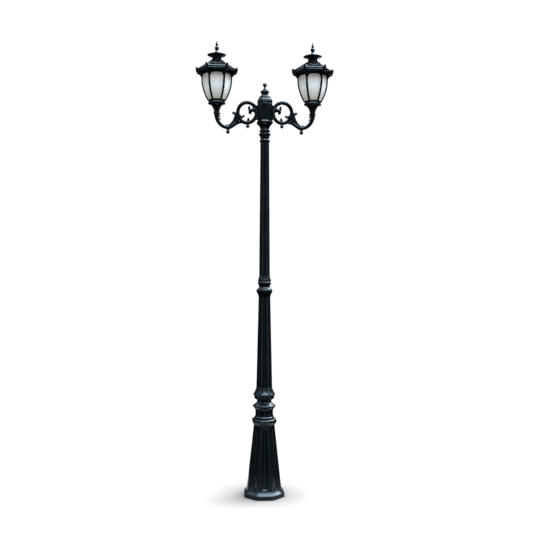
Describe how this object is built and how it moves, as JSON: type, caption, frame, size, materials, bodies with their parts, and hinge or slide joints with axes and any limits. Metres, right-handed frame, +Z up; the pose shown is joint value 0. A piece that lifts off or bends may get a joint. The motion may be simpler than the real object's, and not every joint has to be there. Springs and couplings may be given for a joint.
{
  "type": "street lamp post",
  "caption": "Cast twin-arm garden and street lamp post with hexagonal lanterns, scroll arms, fluted shafts and an octagonal panelled base with a service door.",
  "frame": {"origin": "centre of the octagonal plinth at ground level", "axes": "+Z up the post, +X along the arms towards the right lantern, -Y towards the viewed front, service door on +Y"},
  "size_m": [0.978, 0.28, 3.2],
  "materials": {
    "cast_black": "gloss black enamel over cast aluminium",
    "plate_steel": "galvanised plate and tube",
    "screw_steel": "bright zinc",
    "frosted_pane": "milky, light-spreading",
    "white_ceramic": "glazed",
    "lamp_white": "satin diffuser",
    "dark_plastic": "moulded",
    "brass": "turned"
  },
  "bodies": {
    "post": {"base_casting": "cast_black", "drum_collar": "cast_black", "lower_petal_collar": "cast_black", "lower_shaft": "cast_black", "middle_bell": "cast_black", "middle_ring": "cast_black", "middle_petal_collar": "cast_black", "upper_shaft": "cast_black", "neck_rings": "cast_black", "head_housing": "cast_black", "head_cap": "cast_black", "head_finial": "cast_black", "foot_plate": "plate_steel", "gear_tray": "plate_steel", "core_tube": "plate_steel", "driver_box": "plate_steel", "foot_screws": "screw_steel", "door_hinge_pin": "screw_steel", "shaft_set_screws": "screw_steel", "head_cap_screws": "screw_steel", "arm_bolts": "screw_steel", "terminal_block": "white_ceramic", "fuse_holder": "dark_plastic", "earth_stud": "brass", "left_arm": "cast_black", "left_arm_pendants": "cast_black", "left_socket": "cast_black", "left_cup": "cast_black", "left_cage": "cast_black", "left_panes": "frosted_pane", "left_lamp_holder": "white_ceramic", "left_lamp": "lamp_white", "left_pane_clips": "screw_steel", "left_hinge_pin": "screw_steel", "left_socket_screws": "screw_steel", "right_arm": "cast_black", "right_arm_pendants": "cast_black", "right_socket": "cast_black", "right_cup": "cast_black", "right_cage": "cast_black", "right_panes": "frosted_pane", "right_lamp_holder": "white_ceramic", "right_lamp": "lamp_white", "right_pane_clips": "screw_steel", "right_hinge_pin": "screw_steel", "right_socket_screws": "screw_steel"},
    "door": {"service_door": "cast_black", "door_screw": "screw_steel"},
    "left_lid": {"left_roof": "cast_black", "left_vent_neck": "cast_black", "left_hat": "cast_black", "left_spire": "cast_black", "left_roof_screws": "screw_steel"},
    "right_lid": {"right_roof": "cast_black", "right_vent_neck": "cast_black", "right_hat": "cast_black", "right_spire": "cast_black", "right_roof_screws": "screw_steel"}
  },
  "joints": [
    {"name": "service_door_hinge", "type": "hinge", "parent": "post", "child": "door", "pos_m": [-0.033, 0.12298, 0.05042], "axis": [0, -0.1054, 0.9944], "range_deg": [0, 110]},
    {"name": "left_lid_hinge", "type": "hinge", "parent": "post", "child": "left_lid", "pos_m": [-0.34, 0.127, 2.9776], "axis": [-1, 0, 0], "range_deg": [0, 100]},
    {"name": "right_lid_hinge", "type": "hinge", "parent": "post", "child": "right_lid", "pos_m": [0.34, 0.127, 2.9776], "axis": [-1, 0, 0], "range_deg": [0, 100]}
  ]
}
